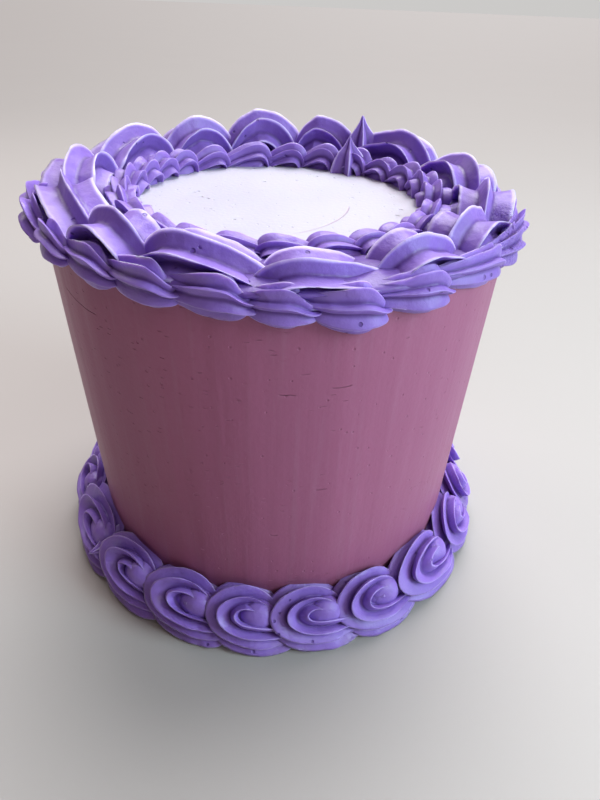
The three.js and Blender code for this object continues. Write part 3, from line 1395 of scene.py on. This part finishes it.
@dataclass
class FootRow:
    """Looped swirls round the foot, each over the tail of the one before.

    A swirl lies in a plane that leans back by the tilt, with its loop's middle at
    hole_share of its span. Near the floor it spreads by the skirt, and what reaches beyond
    full_to is squeezed.
    """

    front_joins: tuple[float, ...] = (178, 191, 215, 234, 252, 267, 284, 301, 323, 341, 356)
    back_count: int = 10
    centre_radius: float = 103.6 * MM
    centre_height: float = 14.8 * MM
    rope_radius: float = 8.5 * MM
    tilt: float = 44
    tilt_chance: Pair = (-3, 3)
    twist_chance: Pair = (-4, 4)
    hole_share: float = 0.8
    left_reach: float = 2.06
    reach_radius: float = 109 * MM
    shingle: float = 0.12
    skirt: float = 6.5 * MM
    skirt_height: float = 8 * MM
    skirt_limits: Pair = (98 * MM, 108 * MM)
    full_to: float = 106 * MM
    squeeze: float = 0.8
    widest: float = 116.2 * MM
    nozzle: Nozzle = Nozzle(11, 0.4, 0.76, 0.55)
    turns: tuple[float, ...] = (27, 32, 38)
    steps: int = 24
    keys: Keys = (
        (1.02, 0.04, -56, 0.5),
        (0.88, 0.16, -46, 0.86),
        (0.52, 0.36, -26, 1.1),
        (0.06, 0.55, 2, 1.24),
        (-0.36, 0.53, 30, 1.32),
        (-0.64, 0.28, 62, 1.36),
        (-0.74, -0.05, 92, 1.36),
        (-0.62, -0.42, 122, 1.36),
        (-0.28, -0.68, 154, 1.35),
        (0.22, -0.78, 177, 1.32),
        (0.8, -0.82, 182, 1.22),
        (1.5, -0.85, 182, 1.02),
        (2.2, -0.88, 182, 0.75),
        (2.8, -0.90, 182, 0.45),
    )
    bulb_size: Triple = (0.98, 0.75, 0.86)
    bulb_at: Triple = (0.5, 0.5, 0)
    rng: random.Random = field(default_factory=lambda: random.Random(77))

    def build(self) -> list[Piece]:
        """Models a few swirls and lays a copy at each place.

        Returns:
            The foot's swirls.
        """
        ropes = [self._rope(turn) for turn in self.turns]
        spans = spans_between(whole_row(self.front_joins, self.back_count))
        places = [self._place(start, end) for start, end in spans]
        return laid_row(ropes, "foot_rosette", places)

    def _rope(self, turn: float) -> Piece:
        """Models a swirl that lies in a flat plane.

        Args:
            turn: How far its ridges are turned about its length.

        Returns:
            The swirl with its bulb.
        """
        sections = smooth_sections(self.keys, self.steps)
        swirl = StarRope("foot_rope", sections, self.nozzle, turn).model()
        self._add_bulb(swirl)
        return swirl

    def _add_bulb(self, swirl: Piece) -> None:
        """Adds the rounded start of the icing, which fills the middle of the loop.

        Args:
            swirl: The swirl, whose mesh takes the bulb in.
        """
        count = len(swirl.data.vertices)
        pick(swirl)
        bpy.ops.object.mode_set(mode="EDIT")
        bpy.ops.mesh.select_all(action="DESELECT")
        bpy.ops.mesh.primitive_uv_sphere_add(segments=12, ring_count=8, radius=1)
        bpy.ops.transform.resize(value=self.bulb_size, center_override=(0, 0, 0))
        bpy.ops.transform.translate(value=self.bulb_at)
        bpy.ops.object.mode_set(mode="OBJECT")
        layer = swirl.data.attributes["crest"].data
        crest = np.empty(len(layer))
        layer.foreach_get("value", crest)
        crest[count:] = FLANK_CREST
        layer.foreach_set("value", crest)

    def _place(self, start: float, end: float) -> Place:
        """Where a swirl's points go on the cake.

        Args:
            start: The angle where it starts.
            end: The angle where the next one starts.

        Returns:
            The function that carries the straight rope there.
        """
        middle = start + (end - start) * self.hole_share
        left = math.radians(middle - start) * self.reach_radius / self.left_reach
        tilt = math.radians(self.tilt + self.rng.uniform(*self.tilt_chance))
        twist = self.rng.uniform(*self.twist_chance)

        def place(along: Array, across: Array, rise: Array) -> Arrays:
            """Lays these points round the cake's foot."""
            x = along * np.where(along < 0, left, self.rope_radius)
            angle = math.radians(middle) + x / self.reach_radius
            side, high = twisted(across, rise, twist)
            up, out = high * self.rope_radius, (side - self.shingle * along) * self.rope_radius
            radius = self.centre_radius - math.sin(tilt) * up + math.cos(tilt) * out
            z = self.centre_height + math.cos(tilt) * up + math.sin(tilt) * out
            low = 1 - smoothstep((0, self.skirt_height), z)
            radius = radius + low * self.skirt * smoothstep(self.skirt_limits, radius)
            beyond = np.maximum(radius - self.full_to, 0)
            radius = np.minimum(radius - (1 - self.squeeze) * beyond, self.widest)
            return round_cake(angle, radius, np.maximum(z, LOWEST))

        return place


@dataclass
class PulledPeak:
    """A peak where the nozzle was pulled away: ridges that run together into a point.

    It stands at an angle round the cake, a radius and a height, and leans outward. Each
    key is a share of its length and the half-height there.
    """

    name: str
    node: str
    way: float
    radius: float
    foot: float
    length: float
    half_width: float
    outward: float = 0
    nozzle: Nozzle = Nozzle(5, 0.48, 0.66)
    turn: float = 12
    steps: int = 12
    bend: float = 0.1
    keys: tuple[Pair, ...] = (
        (-0.25, 1.5),
        (0.0, 1.35),
        (0.28, 1.12),
        (0.5, 0.82),
        (0.66, 0.48),
        (0.8, 0.26),
        (0.92, 0.12),
        (1.0, 0.035),
    )

    def build(self) -> Piece:
        """Models the peak upright and sets it on the icing.

        Returns:
            The peak.
        """
        keys = [(self.bend * t * t, PEAK_LENGTH * t, 90, size) for t, size in self.keys]
        sections = smooth_sections(keys, self.steps)
        rope = StarRope("peak_rope", sections, self.nozzle, self.turn).model()
        way, lean = math.radians(self.way), math.radians(self.outward)

        def place(along: Array, across: Array, rise: Array) -> Arrays:
            """Sets these points on the icing."""
            high = rise / PEAK_LENGTH * self.length
            side, out = along * self.half_width, across * self.half_width
            radius = self.radius + out * math.cos(lean) + high * math.sin(lean)
            z = self.foot + high * math.cos(lean) - out * math.sin(lean)
            return round_cake(way + side / self.radius, radius, np.maximum(z, LOWEST))

        piece = laid(rope, self.name, place)
        bpy.data.objects.remove(rope)
        return piece


PEAKS = (
    PulledPeak("crown_peak", "crown_shell_07", 59, 87 * MM, 180 * MM, 18.8 * MM, 9 * MM),
    PulledPeak("inner_peak", "inner_shell_ring", 57, 67 * MM, 176 * MM, 16 * MM, 8 * MM),
    PulledPeak("foot_peak", "foot_swirl_02", 216, 100 * MM, 15 * MM, 16.5 * MM, 5.5 * MM, 88),
)


# The studio


def new_object(name: str, data: bpy.types.ID) -> Piece:
    """Adds an object with this camera or light to the scene.

    Args:
        name: The object's name.
        data: The camera or light.

    Returns:
        The object.
    """
    added = bpy.data.objects.new(name, data)
    bpy.context.collection.objects.link(added)
    return added


@dataclass(frozen=True)
class SoftLight:
    """A soft square light, with its side in metres and its power in watts."""

    name: str
    at: Triple
    side: float
    power: float
    colour: Triple

    def hang(self, target: Triple) -> None:
        """Adds the light to the scene.

        Args:
            target: What it faces.
        """
        data = bpy.data.lights.new(self.name, "AREA")
        data.size = self.side
        data.energy = self.power
        data.color = self.colour
        light = new_object(self.name, data)
        light.location = self.at
        aim = Vector(target) - Vector(self.at)
        light.rotation_euler = aim.to_track_quat("-Z", "Y").to_euler()


@dataclass
class Studio:
    """Plain pale floor, soft light from above and behind, and the photograph's view."""

    camera_at: Triple = (0, -0.2687, 0.2478)
    right: Triple = (0.9992, -0.0247, 0.0327)
    up: Triple = (-0.013, 0.5653, 0.8248)
    lens: float = 26.1
    sensor: float = 36
    nearest: float = 0.01
    floor_radius: float = 60
    sky_strength: float = 4.6
    sky_colour: Triple = (0.97, 0.98, 1.0)
    sky_way: float = 72
    sky_height: float = 55
    sky_width: float = 50
    lights: tuple[SoftLight, ...] = (
        SoftLight("side", (1.05, -0.45, 0.72), 0.6, 13.5, (0.66, 0.9, 1.0)),
        SoftLight("fill", (0.7, -0.8, 1.2), 1.2, 8.4, (1.0, 0.97, 0.98)),
        SoftLight("low", (0.9, -0.45, 0.1), 0.3, 3.0, (0.6, 0.88, 1.0)),
        SoftLight("window", (-0.75, 0.6, 0.8), 0.5, 2.6, (1.0, 0.92, 0.92)),
    )
    lit_point: Triple = (0, 0, 0.12)
    room_colour: Triple = (1, 0.56, 0.44)
    room_strength: float = 0.08
    backdrop: Triple = (0.6, 0.59, 0.58)

    def camera(self) -> None:
        """Stands the camera where the photograph was taken."""
        data = bpy.data.cameras.new("camera")
        data.lens = self.lens
        data.sensor_width = self.sensor
        data.clip_start = self.nearest
        camera = new_object("camera", data)
        right, up = Vector(self.right).normalized(), Vector(self.up).normalized()
        back = right.cross(up).normalized()
        up = back.cross(right)
        turn = Matrix((right, up, back)).transposed().to_4x4()
        camera.matrix_world = Matrix.Translation(self.camera_at) @ turn
        bpy.context.scene.camera = camera

    def floor(self) -> None:
        """Lays the floor."""
        deselect_all()
        bpy.ops.mesh.primitive_circle_add(vertices=96, radius=self.floor_radius, fill_type="NGON")
        floor = bpy.context.object
        floor.name = floor.data.name = "studio_floor"
        floor.data.materials.append(StudioFloor().material())

    def light(self) -> None:
        """Sets the wide light of the sky and the soft lights."""
        data = bpy.data.lights.new("sky", "SUN")
        data.energy = self.sky_strength
        data.angle = math.radians(self.sky_width)
        data.color = self.sky_colour
        sky = new_object("sky", data)
        way, high = math.radians(self.sky_way), math.radians(self.sky_height)
        flat = math.cos(high)
        toward = Vector((math.cos(way) * flat, math.sin(way) * flat, math.sin(high)))
        sky.rotation_euler = toward.to_track_quat("Z", "Y").to_euler()
        for soft in self.lights:
            soft.hang(self.lit_point)

    def room(self) -> None:
        """Fills the room with even light, behind a backdrop that only the camera sees."""
        world = bpy.data.worlds.new("room")
        world.use_nodes = True
        nodes, link = world.node_tree.nodes, world.node_tree.links.new
        light = nodes["Background"]
        light.inputs["Color"].default_value = (*self.room_colour, 1)
        light.inputs["Strength"].default_value = self.room_strength
        backdrop = nodes.new("ShaderNodeBackground")
        backdrop.inputs["Color"].default_value = (*self.backdrop, 1)
        either = nodes.new("ShaderNodeMixShader")
        ray = nodes.new("ShaderNodeLightPath")
        link(ray.outputs["Is Camera Ray"], either.inputs[0])
        link(light.outputs[0], either.inputs[1])
        link(backdrop.outputs[0], either.inputs[2])
        link(either.outputs[0], nodes["World Output"].inputs[0])
        bpy.context.scene.world = world
        bpy.context.scene.view_settings.view_transform = "Standard"


def shown(piece: Piece, material: Material, slot: str, *nodes: str) -> None:
    """Dresses a finished piece and ties it to the frame.

    Args:
        piece: The piece.
        material: Its finish.
        slot: The record's material slot. It is not used.
        nodes: The CAD nodes that it stands for.
    """
    piece.data.materials.clear()
    piece.data.materials.append(material)
    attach(piece, "root")
    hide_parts(*nodes)
    log.info("%s: %d faces", piece.name, len(piece.data.polygons))


def main() -> None:
    """Builds the studio and the cake, piece by piece."""
    logging.basicConfig(level=logging.INFO, format="%(name)s: %(message)s")
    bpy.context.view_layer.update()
    studio = Studio()
    studio.camera()
    smooth, piped = SmoothIcing().material(), PipedIcing().material()
    shown(IcedCake().build(), smooth, "smooth_icing", "iced_cake")
    crown = CrownRow().build()
    crown_nodes = [f"crown_shell_{i + 1:02d}" for i in range(len(crown))]
    for piece, node in zip(crown, crown_nodes):
        shown(piece, piped, "piped_icing", node)
    shown(CrownBed().build(), piped, "piped_icing", *crown_nodes)
    for piece in InnerRow().build():
        shown(piece, piped, "piped_icing", "inner_shell_ring")
    for piece in RimRow().build():
        shown(piece, piped, "piped_icing", "rim_shell_ring")
    for i, piece in enumerate(FootRow().build()):
        shown(piece, piped, "piped_icing", f"foot_swirl_{i + 1:02d}")
    for peak in PEAKS:
        shown(peak.build(), piped, "piped_icing", peak.node)
    studio.floor()
    studio.light()
    studio.room()


if __name__ == "__main__":
    main()
